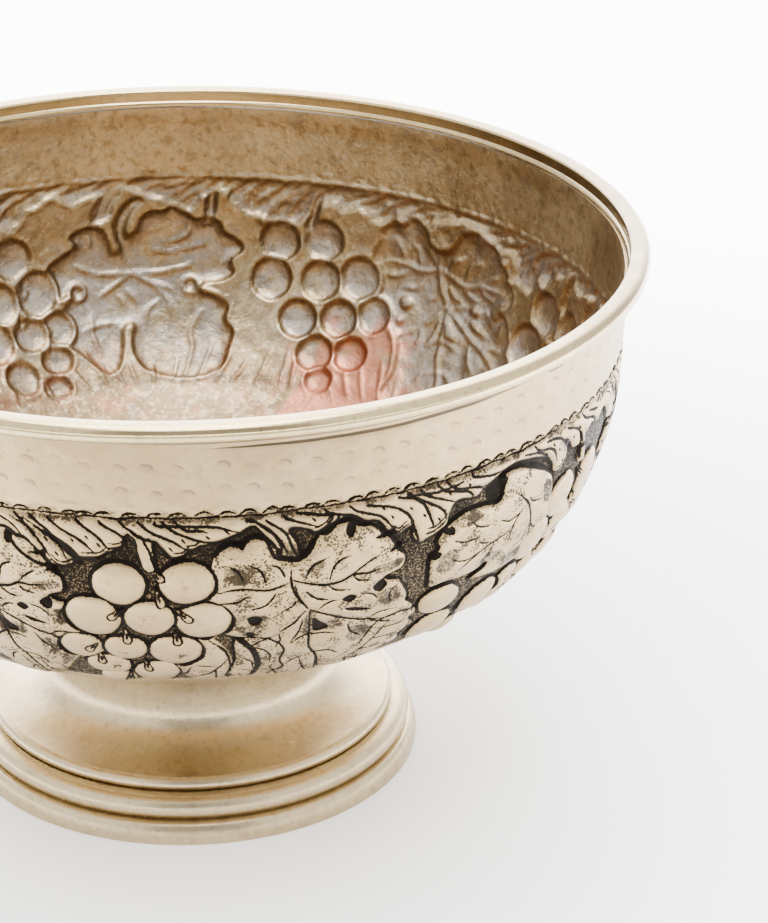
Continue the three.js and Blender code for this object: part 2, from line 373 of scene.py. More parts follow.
# ---- the second leaf of the front, beside the first ----------------------------------
SECOND_EDGE = [(30, 49), (31.5, 47), (33, 45.5), (35, 45.5), (37, 46), (38.5, 46.8), (39.3, 45),
               (39.2, 41), (38.6, 38), (40.5, 36.5), (44, 38.5), (47, 42), (49.5, 47), (50.5, 52),
               (51, 58), (52, 64), (52.7, 75), (50.5, 82), (46.8, 80.5), (42.8, 81.8), (39, 80),
               (37.3, 79), (37.8, 77), (39.5, 75), (39.6, 73.5), (38.7, 73), (37.5, 74.8), (35, 75.3),
               (32, 74.5), (29.8, 75), (29.3, 73), (29, 70), (28.7, 66), (28.5, 63), (28.6, 60),
               (29.5, 57), (29, 54), (29.5, 51)]
SECOND_SMOKE = [
    [(30, 60), (32, 58), (33, 63), (31.5, 68), (29.8, 66)], [(31.5, 47.5), (35, 46.5), (36, 50),
    (32.5, 51)], [(47.5, 47), (49.5, 50), (50, 57), (48, 56)], [(43, 71), (46, 72), (45.5, 78),
    (42.5, 78)], [(38, 66.5), (41, 68), (40.5, 72), (37.5, 71)], [(49, 67), (51.5, 68), (51.5, 76),
    (49.5, 77)]]
SECOND_VEINS = [
    ([(41.3, 45.5), (43, 49), (44.5, 53), (45.7, 59), (46.5, 65), (47, 72), (48, 79), (50.5, 82)],
    0.9), ([(43.4, 53.5), (42.5, 57), (42, 62), (42.4, 67.5)], 0.7), ([(43, 55), (41, 56),
    (39.2, 54)], 0.8), ([(42.2, 58.5), (41, 61), (38.5, 62.5), (36.5, 64.5), (34.5, 67.5),
    (33.5, 69.5)], 0.8), ([(38.5, 62), (37, 61), (35.8, 59.3)], 0.7), ([(36.5, 64), (34.5, 65.5),
    (32.5, 64), (31.7, 61.5)], 0.7), ([(39, 63), (38.6, 66), (38.7, 70.5)], 0.7), ([(45.8, 61),
    (45.8, 66), (44.5, 69), (42.5, 70)], 0.7), ([(44.5, 50.5), (45.5, 53), (47.5, 54)], 0.7),
    ([(46.5, 63), (47.5, 65.5), (49.3, 65.5)], 0.7), ([(42.8, 81.5), (45, 81.8), (46.8, 79.8)],
    0.8), ([(34, 50), (35.5, 53), (38, 54.5)], 0.7), ([(31.5, 55), (33.5, 57), (36, 57.2)], 0.7)]


def second_leaf():
    """The leaf that the front bunch's neighbour half covers."""
    frieze.raised(SECOND_EDGE, 1.2, 6.0, 0.45)
    for points in SECOND_SMOKE:
        frieze.smoked(points, 1.0)
    frieze.cut(SECOND_EDGE, 1.5, 0.5, closed=True)
    frieze.filled([(30, 50), (31.2, 49.5), (31.4, 52.3), (30.2, 51.8)], 1.0, 0.5)
    frieze.filled([(28.3, 58.3), (30, 58.6), (29.6, 61), (28.4, 60.5)], 1.0, 0.5)
    for points, width in SECOND_VEINS:
        frieze.cut(points, width, 0.35)


# ---- grapes -------------------------------------------------------------------------
FRONT_BUNCH = [(-11.2, 55.8, 8.5, 8.5), (-3.0, 55.3, 8.5, 8.4), (-14.8, 70.3, 8.4, 9.3),
               (-1.0, 71.8, 8.7, 8.6), (-7.8, 70.5, 7.7, 8.0), (-17.2, 86.3, 6.9, 7.0),
               (-11.3, 86.3, 6.9, 6.8), (-4.7, 87.5, 8.3, 8.3), (-14.2, 98, 7.1, 6.5),
               (-7.6, 103, 7.2, 8.0), (-13.5, 109, 6.0, 6.0)]
WIDE_BUNCH = [
    (-2, 54, 8, 8), (5, 56, 8, 8), (-8.5, 67, 8.4, 8.6), (-2, 70, 8, 8), (6, 71, 8, 8.4),
    (-12, 80, 7, 7.4), (-6, 84, 7.6, 7.6), (1, 86, 7.6, 7.8), (-9.5, 97, 7, 7), (-3, 99, 7.4, 7.4),
    (-5, 110, 5.6, 5.6)]
FRONT_DROPS = [((-7.2, 50), (-5.8, 53.5)), ((-6.8, 57), (-6.0, 64.5)), ((-11, 66), (-12.8, 70)),
               ((-4.5, 66), (-2.5, 70.3)), ((-11, 76), (-10.8, 82)), ((-4.7, 77), (-4.3, 82.5)),
               ((-15, 84), (-16.5, 87)), ((-15, 90), (-14.8, 95)), ((-9, 94), (-8.5, 99.5)),
               ((-11.5, 104), (-12, 111))]


# ---- the broad leaf of the back, with two small berries between its lobes ---------------
LOBED_EDGE = [
    (1.8, 60), (1.2, 55), (-0.8, 52), (-1.7, 47), (-3.5, 44.4), (-5.2, 44.6), (-6.5, 43),
    (-8.8, 45.5), (-10, 48), (-12, 47.2), (-14, 49.7), (-14.4, 53), (-17, 57), (-17.4, 61),
    (-15.6, 65), (-16.2, 70), (-14, 73.5), (-11.5, 74.2), (-10.8, 77), (-14, 79), (-15.5, 83),
    (-15, 88), (-16.5, 93), (-15.8, 100), (-15, 107), (-12, 111.5), (-8, 113), (-4, 111.5),
    (-0.5, 108), (1.2, 101), (1.1, 94), (0.6, 89.5), (2, 91), (2.5, 99), (4, 107.5), (6.5, 109),
    (9, 103.5), (10.5, 99), (12.4, 95), (11.8, 90), (13, 86), (12.2, 81), (10.5, 77), (9.3, 74.4),
    (12, 77.3), (14, 74), (14.6, 69), (13.3, 63), (11, 59.5), (8.8, 56.5), (9.6, 53), (8, 50),
    (5.5, 49.2), (4, 51), (3.3, 55), (2.8, 60)]
LOBED_VEINS = [
    ([(0, 69), (-4, 69.3), (-8, 67.5), (-9.5, 66)], 1.0), ([(0, 69), (5, 68.5), (8.5, 65)], 0.9),
    ([(0, 69.5), (-3, 73), (-6.5, 76.5)], 1.0), ([(0.3, 69.5), (3, 73.5), (6, 78)], 0.9),
    ([(-1, 70.5), (-4, 76), (-5.7, 82), (-5.5, 90)], 0.9), ([(-4, 80), (-2, 84), (-1.8, 91)], 0.9),
    ([(1, 75), (-0.5, 81)], 0.7), ([(2.6, 77), (1.2, 82)], 0.7), ([(-9, 50), (-8.5, 55),
    (-5, 58.5)], 0.9), ([(-7, 62), (-3, 60.5)], 0.7), ([(-12, 58), (-9, 60), (-6, 61)], 0.7),
    ([(6.5, 53), (6, 58)], 0.8), ([(9, 64), (7, 67)], 0.7), ([(-11, 84), (-9, 92), (-9.5, 101)],
    0.7), ([(7, 83), (7.5, 91), (6.5, 100)], 0.7), ([(2.6, 88), (6, 88), (9.5, 90)], 0.7)]


def lobed_leaf(centre):
    """The broad leaf with its stem and its two berries, on short stalks."""
    def at(points):
        return [(centre + u, s) for u, s in points]
    frieze.raised(at(LOBED_EDGE), 1.35, 6.0, 0.42)
    frieze.cut(at(LOBED_EDGE), 1.0, 0.5, taper=(1, 1))
    for points, width in LOBED_VEINS:
        frieze.cut(at(points), width * 1.2, 0.45)
    frieze.raised(at([(-2.2, 40), (-0.4, 40), (1.6, 45), (2.3, 51), (1.7, 58), (0.7, 68), (-0.5, 68),
                      (0.4, 58), (0.7, 51), (-0.4, 45)]), 1.2, 1.2)
    for side in (-1, 1):
        stalk = [(side * 9.2, 75), (side * 11.5, 76.5), (side * 13.5, 79), (side * 14.8, 83)]
        frieze.cut(at(stalk), 1.3, 0.5)
        frieze.ring((centre + side * 9, 74.5), 3.3, 3.3, 0.9)
        frieze.dome((centre + side * 9, 74.5), 3.1, 3.1, 1.9)


def bunch(centre, grapes, drops, drop=0.0, origin=0.0, loose=0.0):
    """Grapes, each with its outline, and the stalk ends between them."""
    for u, s, across, downwards in grapes:
        move = rng.normal(0, loose, 2)
        size = 1.06 + rng.normal(0, loose * 0.05)
        place = (centre + u - origin + move[0] * 0.3, s + drop + move[1] * 0.8)
        lean = rng.normal(0, 0.25)
        thick = 1.25 + rng.normal(0, 0.15)
        frieze.dome(place, across * size, downwards * size, 1.6, lean)
        frieze.ring(place, across * size, downwards * size, thick, lean)
        if rng.random() < 0.6:
            u, s = place[0] + 0.8 * rng.normal(), place[1] + 1.6 * rng.normal()
            frieze.smoked([(u - 0.6, s), (u, s - 1.0), (u + 0.8, s + 0.2), (u, s + 1.1)], 0.78)
    for (u0, s0), (u1, s1) in drops:
        shift = centre - origin
        frieze.drop((u0 + shift, s0 + drop), (u1 + shift, s1 + 0.6 + drop), 2.9)


# ---- the leafy border under the rope ---------------------------------------------------
BORDER_LINES = [
    [(-22, 35), (-20.3, 41), (-19, 47)], [(-20.5, 34), (-18.5, 39), (-17.2, 46.5)],
    [(-15, 34), (-13.2, 38), (-12, 42.5)], [(-17.5, 36), (-15.3, 39.5), (-13.8, 43.5)],
    [(-9, 36), (-6.7, 40), (-4.8, 44.5)], [(-6.8, 36), (-4.6, 38.8), (-3, 42)],
    [(-12.5, 33.5), (-10.8, 36.5), (-10, 40)], [(-6, 33.5), (0, 34), (3, 36.5)],
    [(-4, 36), (0, 40), (2.5, 38), (4.5, 35)], [(-3, 35), (-1.5, 35.2), (-0.5, 35.8)],
    [(4, 32.5), (6.5, 36), (8, 42), (8.2, 46)], [(5.8, 35), (7.8, 40), (9, 46)],
    [(6.3, 33), (8.5, 38), (9.5, 44), (10.3, 48.5)], [(10, 31.8), (13, 33.5), (15.5, 34.5)],
    [(9, 33.5), (12.5, 37.5)], [(14, 33.5), (17, 36), (18.5, 38.5)],
    [(17.5, 34.5), (20.5, 38), (22.3, 43.5)], [(18.7, 33), (22, 35.5), (24.3, 40), (25.5, 47), (26.3, 52)],
    [(22.7, 32.5), (26, 36), (28, 46.8)], [(25, 34.5), (26.5, 38), (28, 46)],
    [(25.5, 35), (29, 41), (30, 46)], [(27, 35), (31, 40)], [(24, 33), (29, 34.5), (32, 33.5)],
    [(29.5, 35), (33, 38), (34, 41)], [(31, 35.3), (34.5, 37.5), (35.7, 39.5)],
    [(34, 33.5), (37, 35.2), (39.5, 35)], [(45.5, 34.5), (48.5, 37), (50, 43)],
    [(47, 33), (50, 34.5), (52.3, 40)], [(52, 33), (55, 36.5), (56.5, 42.5)],
    [(42.5, 33.3), (46, 36), (48.4, 40.5)], [(58, 33), (61, 35)], [(57, 34.5), (60, 37.5), (61.5, 41)]]
BORDER_ENDS = [
    [(-19, 47.3), (-18, 49.8), (-16.5, 48.8), (-16, 46.5)], [(-12.2, 43), (-13.2, 45.4), (-15.3, 45.8)],
    [(-4.6, 45), (-3.4, 44.8), (-2.6, 42.5)], [(-3, 42.3), (-2, 42.2), (-1.3, 40.7)],
    [(14.3, 35), (13.5, 38), (12, 40)], [(15.2, 35.6), (14.6, 38.6), (13.2, 40.3)],
    [(22.1, 44), (23, 45.6), (24, 43.4)], [(22, 45.3), (23.2, 47), (24.6, 44.8)],
    [(27, 48.5), (28.3, 48.7), (30, 45.6)], [(27, 51), (28.5, 50.6), (29.5, 49)],
    [(50, 47.5), (51.5, 47.2), (52.4, 44.6)], [(56.5, 43), (57.6, 43.2), (58.5, 41)],
    [(61.5, 41.5), (62.5, 41.2), (63.3, 39)], [(-10, 40.3), (-10.9, 41.9), (-12, 41.7)]]
BORDER_DOTS = [
    (-19.5, 40), (-18.3, 45), (-21, 39), (-4.8, 41.5), (-3.3, 38.7), (-7.3, 38.2), (-14.5, 38.2),
    (-13.2, 40.6), (-16.3, 39.5), (18, 35.5), (20.7, 35), (19.7, 39.5), (22, 39), (24.5, 37.5),
    (26.5, 41.5), (27.3, 37.8), (28.7, 44.5), (47.3, 37.7), (48.6, 35.5), (50.1, 38.8), (51.3, 44),
    (48.5, 42.8), (53.8, 38), (55.3, 36), (57, 40), (55.5, 43.5), (-0.5, 37.6), (1.8, 36.4),
    (12, 34.6), (30, 36.2), (33, 35.4), (59.3, 36.8)]
BORDER_EDGE = [(-24.5, 40), (-22, 47), (-19.5, 50), (-17, 50), (-15.8, 47), (-13.5, 46.3), (-12, 44),
               (-10.4, 41), (-10, 37.5), (-9, 38), (-8.4, 48), (-6.6, 50), (-6.9, 40), (-6.2, 41),
               (-5, 45.5), (-3.8, 45.6), (-2.3, 43.2), (-1, 41.3), (0.5, 40.6), (3, 38.2), (4.6, 35.4),
               (5.2, 36), (6.5, 41), (7.4, 46.8), (9, 48.3), (10.6, 48.6), (10.2, 43), (9.2, 37.5),
               (11.5, 38.7), (12.3, 40.4), (13.8, 40.2), (15.2, 37.2), (16.5, 36), (18.5, 39),
               (20.3, 40), (21.6, 44.5), (23, 47), (24.8, 45), (25.2, 49), (26.4, 52.3), (28.4, 51),
               (30.3, 48.5), (30.6, 44), (31.6, 40.6), (34.5, 41.8), (36, 39.8), (38.5, 36.5),
               (40.5, 35.3), (42, 35.5), (46, 38), (48.7, 42), (50, 47.8), (51.6, 47.8), (52.8, 44.5),
               (53, 39.5), (54.5, 43.5), (57.3, 44), (58.9, 41), (60, 40), (62.3, 42), (64, 38.5)]
DARK_WEDGES = [[(-21, 35.5), (-18.5, 41), (-16.6, 46), (-15.7, 49.5), (-15.2, 47), (-17, 40.5)],
               [(40.5, 35.0), (44, 37.2), (47, 41), (50, 49), (47.6, 44.3), (44.2, 40)],
               [(36, 38.2), (39.3, 37.5), (39.4, 43.5), (37.3, 46.6), (36.4, 43)],
               [(51.2, 36), (52.8, 38), (54, 44), (52.4, 41)]]


def border(shift):
    """A quarter of the leafy border: its edge, its ribs, its scalloped ends and its dots."""
    def at(points):
        return [(shift + u, s) for u, s in points]
    edge = [(BORDER_EDGE[0][0], 31.6)] + BORDER_EDGE + [(BORDER_EDGE[-1][0], 31.6)]
    frieze.raised(at(edge), 0.95, 3.5, 0.06)
    frieze.cut(at(BORDER_EDGE), 1.25, 0.5, taper=(1, 1))
    for points in BORDER_LINES:
        u, s = points[0]
        if s > 33.4:
            points = [(u - (s - 32.2) * 0.45, 32.2)] + points
        frieze.cut(at(points), 1.1, 0.4, taper=(0.8, 0.4))
    for points in BORDER_ENDS:
        frieze.cut(at(points), 1.2, 0.4, taper=(0.6, 0.6))
        frieze.cut(at([(u, s - 1.9) for u, s in points]), 0.75, 0.3, taper=(0.5, 0.5))
    for u, s in BORDER_DOTS:
        frieze.cut(at([(u - 0.22, s - 0.7), (u + 0.22, s + 0.7)]), 0.8, 0.3)
    for points in DARK_WEDGES:
        frieze.filled(at(points), 0.95, 0.4)
        frieze.smoked(at([(u - 1.2, s) for u, s in points]), 0.8)


ROPE_LEAVES = 138


def rope():
    """A row of slanting leaf shapes over a thin black line."""
    wave = []
    for k in range(ROPE_LEAVES):
        u = (k + 0.12 * rng.normal()) * 360 / ROPE_LEAVES
        low = 0.2 * rng.normal()
        frieze.raised([(u, 31), (u + 0.5, 29.5), (u + 1.4, 28.8 + low), (u + 2.5, 29.5), (u + 2.1, 30.6)],
                      0.8, 1.2)
        frieze.cut([(u, 30.9), (u + 0.5, 29.6), (u + 1.3, 29.0 + low), (u + 2.3, 29.8)],
                   0.6 + 0.25 * rng.random(), 0.35, taper=(0.8, 0.3))
        frieze.cut([(u + 0.6, 30.8), (u + 1.3, 29.9 + low), (u + 2.1, 30.5)], 0.45, 0.2, 0.85)
        wave += [(u, 31.2 + 0.25 * rng.normal()), (u + 1.3, 30.9)]
        if rng.random() < 0.55:
            frieze.smoked([(u, 30.6), (u + 2.6, 30.4), (u + 2.8, 32.6), (u + 0.4, 33.0)], 0.9)
    wave.append((wave[0][0] + 360, wave[0][1]))
    for part in range(0, len(wave) - 1, 12):
        frieze.cut(wave[part:part + 13], 0.65 + 0.45 * rng.random(), 0.35, taper=(1, 1))


for turn in range(4):
    border(turn * 90.0 + (0 if turn == 0 else 1.5 * rng.normal()))
for gap in (66.5, 156.5, 246.5, 336.5):
    for dx in (0.0, 1.6, 3.1):
        frieze.cut([(gap - 2 + dx, 33), (gap + dx, 36), (gap + 1.2 + dx, 40)], 0.62, 0.3)
vine_leaf(-29.0, 0.95, 0.78)
vine_leaf(LEAF_CENTRE)
second_leaf()
vine_leaf(84.5, 1.15, 1.0, 1.0, True)
vine_leaf(134.5, 1.05, 1.1, 0.0, True)
lobed_leaf(185.0)
vine_leaf(233.5, 1.1, 1.0, 0.0, True)
vine_leaf(282.5, 1.1, 1.1, 1.0, True)
for k in range(108):
    u = (k + 0.25 * rng.normal()) * 360 / 108
    top = 101 + 4 * math.sin(u * 0.35) + 1.5 * rng.normal()
    bend = 1.6 * math.sin(u * 0.12)
    frieze.cut([(u - bend, top), (u, (top + 117) / 2), (u + bend * 1.4, 117)], 0.8, 0.35)
frieze.raised([(-1.5, 80), (1, 84), (2.6, 92), (3.2, 102), (2.5, 109), (0, 111), (-3.2, 108), (-5, 98)],
              1.0, 4, 0.35)
for points in ([(-0.3, 82), (1.4, 87), (2.3, 92), (2.9, 102), (2.5, 108)],
               [(2.3, 93), (0, 103), (-3, 108)], [(-2, 96.5), (0.5, 97.5)]):
    frieze.cut(points, 0.8)
UNDER_LEAVES = [
    [(3, 83), (6.5, 81.5), (8.6, 85), (9.8, 90), (9.6, 97), (10.5, 103), (8.5, 109), (5, 111),
    (2.6, 106), (3.3, 96)], [(22.5, 84), (25.5, 81.5), (28, 82.5), (29.6, 85.5), (28.6, 89),
    (30, 93), (28.3, 97), (29, 102), (26.5, 106), (26.6, 110), (23, 114), (19, 116), (17, 110),
    (20, 100), (21.5, 92)]]
UNDER_STROKES = [[(4, 85.5), (6.6, 88), (8, 92.5), (8.2, 97)], [(3.6, 92), (5.6, 96), (6, 101)],
                 [(4.2, 101), (6.4, 104), (8.2, 103)], [(23, 88), (26, 88.5), (28, 87)],
                 [(22.6, 94), (25.5, 95), (28, 94)], [(21.8, 100), (24.5, 101.5), (27.5, 101)],
                 [(20, 106), (22.5, 108), (25, 108.5)], [(24.5, 84), (23.5, 92), (22, 101), (19.5, 110)]]
for points in UNDER_LEAVES:
    frieze.raised(points, 1.0, 4.0, 0.5)
    frieze.cut(points, 0.9, 0.4, taper=(1, 1), closed=True)
    frieze.smoked(points[2:7], 0.75)
for points in UNDER_STROKES:
    frieze.cut(points, 0.75, 0.3)
bunch(-8.0, FRONT_BUNCH, FRONT_DROPS, 0.0, -8.0)
bunch(57.0, FRONT_BUNCH, FRONT_DROPS, 4.5, -8.0, 0.4)
bunch(107.0, FRONT_BUNCH, FRONT_DROPS, 0.0, -8.0, 1.0)
bunch(157.0, WIDE_BUNCH, [], 0.0, 0.0)
bunch(206.0, FRONT_BUNCH, FRONT_DROPS, 2.0, -9.0, 1.0)
bunch(255.0, WIDE_BUNCH, [], 0.0, 0.0, 0.8)
bunch(303.5, FRONT_BUNCH, FRONT_DROPS, 1.0, -8.0, 1.0)
for place, across, downwards, lean in (((32.8, 83.5), 9.5, 7.5, 0.4), ((34.5, 101), 9, 9, 0),
                                       ((42.5, 94), 8.5, 9.5, 0.2), ((40, 110), 6.5, 6, 0)):
    frieze.dome(place, across, downwards, 1.8, lean)
    frieze.ring(place, across, downwards, 1.3, lean)
for u in (-8.4, 56.6, 106.6, 156.6, 205.6, 254.6, 303.0):
    frieze.raised([(u - 1.2, 36), (u, 36), (u + 1.0, 43), (u + 1.6, 50), (u + 0.4, 51), (u - 0.4, 44)],
                  1.3, 1.5)
    frieze.cut([(u - 1.3, 36.5), (u - 0.3, 44), (u + 0.4, 50.5)], 0.9, 0.3)
    frieze.cut([(u + 0.1, 36.5), (u + 1.1, 43), (u + 1.7, 50)], 0.9, 0.3)
rope()

# The ground between the motifs is punched down and blackened, least at the bottom.
down = frieze.down[:, None]
ground = (1 - frieze.motif) * smooth(down, 31.0, 32.2) * (1 - smooth(down, 108, 117))
frieze.height -= 0.7 * frieze.blurred(ground, 0.8)
frieze.height += 0.12 * frieze.blurred(rng.normal(0, 1, frieze.height.shape), 2.2) * 6
frieze.height *= smooth(down, FRIEZE_START, 28.4) * (1 - smooth(down, 112, FRIEZE_END))
frieze.line *= smooth(down, 27.5, 28.2) * (1 - smooth(down, 112, 117))
frieze.dots = np.maximum(frieze.dots * frieze.motif, 0) * (1 - smooth(down, 106, 117))
# Halo: painted shade spreading out from the lines and the punched ground.
halo = frieze.blurred(np.maximum(frieze.line, ground * 0.8), 1.6)
soft_height = frieze.blurred(frieze.height, 0.75) - 0.35 * frieze.blurred(frieze.line, 0.7)

# ---- the plain collar, with a few rows of faint punch marks ----------------------------
collar = Chasing(COLLAR_START, FRIEZE_START, COLLAR_ROWS, COLLAR_COLUMNS)
collar.cut([(-1, 6.6), (8, 6.9), (14, 6.9), (20, 7.0), (30, 6.6), (50, 6.2)], 1.2, 0.2, 1.0, (0.3, 0.3))
collar.cut([(46, 6.9), (49, 6.9)], 1.2, 0.2)
seam = collar.line.copy()
collar.line[:] = 0
for row, low in ((13.5, 10.5), (22.0, 20.5)):
    u = 2.0 * rng.random()
    while u < 358:
        s = row + 1.3 * math.sin(u * 0.09) + 0.5 * rng.normal()
        a = 0.55 + 0.4 * rng.random()
        points = [(u - 0.8, s - 0.6), (u - 0.2, s - 1.8), (u + 0.6, s - 1.2), (u + 0.8, s + 0.4)]
        collar.cut(points, 1.0, 0.10, a)
        if rng.random() < 0.6:
            collar.cut([(u + 0.6, s + 1.0), (u - 0.2, s + 1.6), (u - 0.8, s + 0.5)], 0.6, 0.05, a * 0.7)
        u += 3.1 + 0.9 * rng.random()
collar_halo = collar.blurred(collar.line, 1.6)
collar.height += 0.1 * collar.blurred(rng.normal(0, 1, collar.height.shape), 3.0) * 5
collar.height *= (1 - smooth(collar.down[:, None], 25.5, FRIEZE_START))


# ---------------------------------------------------------------------------------------
# Making the pieces
# ---------------------------------------------------------------------------------------
def solid_mesh(name, points, groups, values, materials):
    """A mesh from points and groups of (corners of each face, material number)."""
    mesh = bpy.data.meshes.new(name)
    corners = np.concatenate([faces.ravel() for faces, _ in groups])
    sizes = np.concatenate([np.full(len(faces), faces.shape[1]) for faces, _ in groups])
    slots = np.concatenate([np.full(len(faces), slot) for faces, slot in groups])
    starts = np.concatenate([[0], np.cumsum(sizes)[:-1]])
    mesh.vertices.add(len(points))
    mesh.vertices.foreach_set("co", (points * MM).astype(np.float32).ravel())
    mesh.loops.add(len(corners))
    mesh.loops.foreach_set("vertex_index", corners.astype(np.int32))
    mesh.polygons.add(len(sizes))
    mesh.polygons.foreach_set("loop_start", starts.astype(np.int32))
    for material in materials:
        mesh.materials.append(material)
    mesh.polygons.foreach_set("material_index", slots.astype(np.int32))
    mesh.polygons.foreach_set("use_smooth", np.ones(len(sizes), bool))
    mesh.update(calc_edges=True)
    for key, field in values.items():
        layer = mesh.attributes.new(key, "FLOAT", "POINT")
        layer.data.foreach_set("value", field.astype(np.float32))
    piece = bpy.data.objects.new(name, mesh)
    bpy.context.scene.collection.objects.link(piece)
    return piece


def mark_borders(piece, flags):
    """Edges along the borders of the outer and inner faces stay sharp."""
    mesh = piece.data
    ends = np.zeros(len(mesh.edges) * 2, np.int32)
    mesh.edges.foreach_get("vertices", ends)
    ends = ends.reshape(-1, 2)
    sharp = (flags[ends[:, 0]] > 0) & (flags[ends[:, 0]] == flags[ends[:, 1]])
    mesh.edges.foreach_set("use_edge_sharp", sharp)


def on_wall(band, columns, rows, lift):
    """Points on the wall, moved outwards by a lift in millimetres."""
    profile, out = wall_at(band.down[rows])
    angle = np.radians(columns * 360 / band.columns)
    radius = profile[:, 0][:, None] + out[:, 0][:, None] * lift
    height = profile[:, 1][:, None] + out[:, 1][:, None] * lift
    return np.stack([radius * np.sin(angle), -radius * np.cos(angle), height + 0 * angle], -1)


def wall_piece(name, band, first, count, outer_fields, inner_fields, thickness, materials):
    """A curved sheet of the wall, finely worked outside and half as fine inside."""
    rows = np.arange(len(band.down))
    whole = count == band.columns
    columns = np.arange(first, first + count + 1)
    wrap = columns % band.columns
    lift = outer_fields["lift"][:, wrap]
    outside = on_wall(band, columns, rows, lift)
    inner_rows = rows[::2]
    inner_columns = columns[::2]
    inner_wrap = inner_columns % band.columns
    inner_lift = inner_fields["lift"][np.ix_(inner_rows, inner_wrap)] - thickness[inner_rows][:, None]
    inside = on_wall(band, inner_columns, inner_rows, inner_lift)
    outer_index = np.arange(outside[..., 0].size).reshape(outside.shape[:2])
    inner_index = np.arange(inside[..., 0].size).reshape(inside.shape[:2]) + outer_index.size
    if whole:
        outer_index[:, -1] = outer_index[:, 0]
        inner_index[:, -1] = inner_index[:, 0]

    def quads(index, flip):
        a, b, c, d = index[:-1, :-1], index[1:, :-1], index[1:, 1:], index[:-1, 1:]
        order = (a, d, c, b) if flip else (a, b, c, d)
        return np.stack([corner.ravel() for corner in order], 1)

    def edge_wall(outer, inner):
        return np.stack([outer[:-2:2], outer[1:-1:2], outer[2::2], inner[1:], inner[:-1]], 1)

    walls = [edge_wall(outer_index[0], inner_index[0]),
             edge_wall(outer_index[-1][::-1], inner_index[-1][::-1])]
    if not whole:
        walls.append(edge_wall(outer_index[:, 0][::-1], inner_index[:, 0][::-1]))
        walls.append(edge_wall(outer_index[:, -1], inner_index[:, -1]))
    points = np.vstack([outside.reshape(-1, 3), inside.reshape(-1, 3)])
    values = {}
    for key in sorted(set(outer_fields) | set(inner_fields)):
        if key == "lift":
            continue
        outer = outer_fields[key][:, wrap] if key in outer_fields else np.zeros(outer_index.shape)
        inner = (inner_fields[key][np.ix_(inner_rows, inner_wrap)] if key in inner_fields
                 else np.zeros(inner_index.shape))
        values[key] = np.concatenate([outer.ravel(), inner.ravel()])
    flags = np.zeros(len(points), int)
    for index, flag in ((outer_index, 1), (inner_index, 2)):
        flags[index[0]] = flag
        flags[index[-1]] = flag
        if not whole:
            flags[index[:, 0]] = flag
            flags[index[:, -1]] = flag
    groups = [(quads(outer_index, False), 0), (quads(inner_index, True), 1)]
    groups += [(wall, 0) for wall in walls]
    if whole:
        used, corner_map = np.unique(np.concatenate([g.ravel() for g, _ in groups]), return_inverse=True)
        split = np.cumsum([g.size for g, _ in groups])[:-1]
        parts = np.split(corner_map.ravel(), split)
        groups = [(part.reshape(g.shape), slot) for part, (g, slot) in zip(parts, groups)]
        points = points[used]
        flags = flags[used]
        values = {key: field[used] for key, field in values.items()}
    piece = solid_mesh(name, points, groups, values, materials)
    mark_borders(piece, flags)
    return piece


def deselect_all():
    """Nothing is left selected, so that an operator acts on the new piece only."""
    for piece in bpy.data.objects:
        piece.select_set(False)


def spun(name, outline, material, steps=256, angle=35):
    """A piece turned round the upright axis from an outline of (radius, height)."""
    deselect_all()
    open_at_axis = outline[0][0] == 0
    bpy.ops.mesh.primitive_circle_add(vertices=len(outline), radius=0.01, location=(0, 0, 0))
    piece = bpy.context.object
    piece.name = name
    piece.data.name = name
    for vertex, (radius, height) in zip(piece.data.vertices, outline):
        vertex.co = (radius * MM, 0, height * MM)
    bpy.ops.object.mode_set(mode="EDIT")
    bpy.ops.mesh.select_all(action="SELECT")
    if open_at_axis:
        bpy.ops.mesh.select_all(action="DESELECT")
        bpy.ops.object.mode_set(mode="OBJECT")
        for edge in piece.data.edges:
            edge.select = all(outline[v][0] == 0 for v in edge.vertices)
        bpy.ops.object.mode_set(mode="EDIT")
        bpy.ops.mesh.select_mode(type="EDGE")
        bpy.ops.mesh.delete(type="EDGE")
        bpy.ops.mesh.select_mode(type="VERT")
        bpy.ops.mesh.select_all(action="SELECT")
    bpy.ops.mesh.spin(steps=steps, angle=2 * math.pi, center=(0, 0, 0), axis=(0, 0, 1))
    bpy.ops.mesh.select_all(action="SELECT")
    bpy.ops.mesh.remove_doubles(threshold=0.000005)
    bpy.ops.mesh.normals_make_consistent(inside=False)
    bpy.ops.object.mode_set(mode="OBJECT")
    bpy.ops.object.shade_smooth_by_angle(angle=math.radians(angle))
    piece.data.materials.append(material)
    return piece


def arc(centre, across, up, start, end, steps):
    """Points along an ellipse, from one angle to another in degrees."""
    angles = np.radians(np.linspace(start, end, steps + 1))
    return [(centre[0] + across * math.cos(a), centre[1] + up * math.sin(a)) for a in angles]


# ---------------------------------------------------------------------------------------
# Finishes
# ---------------------------------------------------------------------------------------
class Value:
    """A socket that takes part in sums as a number does."""

    def __init__(self, tree, socket):
        self.tree = tree
        self.socket = socket

    def calc(self, operation, *others):
        return node(self.tree, "ShaderNodeMath", {"operation": operation},
                    dict(enumerate((self,) + others)))

    def __add__(self, other):
        return self.calc("ADD", other)

    __radd__ = __add__

    def __sub__(self, other):
        return self.calc("SUBTRACT", other)

    def __rsub__(self, other):
        return node(self.tree, "ShaderNodeMath", {"operation": "SUBTRACT"}, {0: other, 1: self})

    def __mul__(self, other):
        return self.calc("MULTIPLY", other)

    __rmul__ = __mul__

    def between(self, low, high):
        """0 below low, 1 above high, and smooth between."""
        return node(self.tree, "ShaderNodeMapRange", {"interpolation_type": "SMOOTHSTEP"},
                    {"Value": self, "From Min": low, "From Max": high})

    def most(self, other):
        return self.calc("MAXIMUM", other)


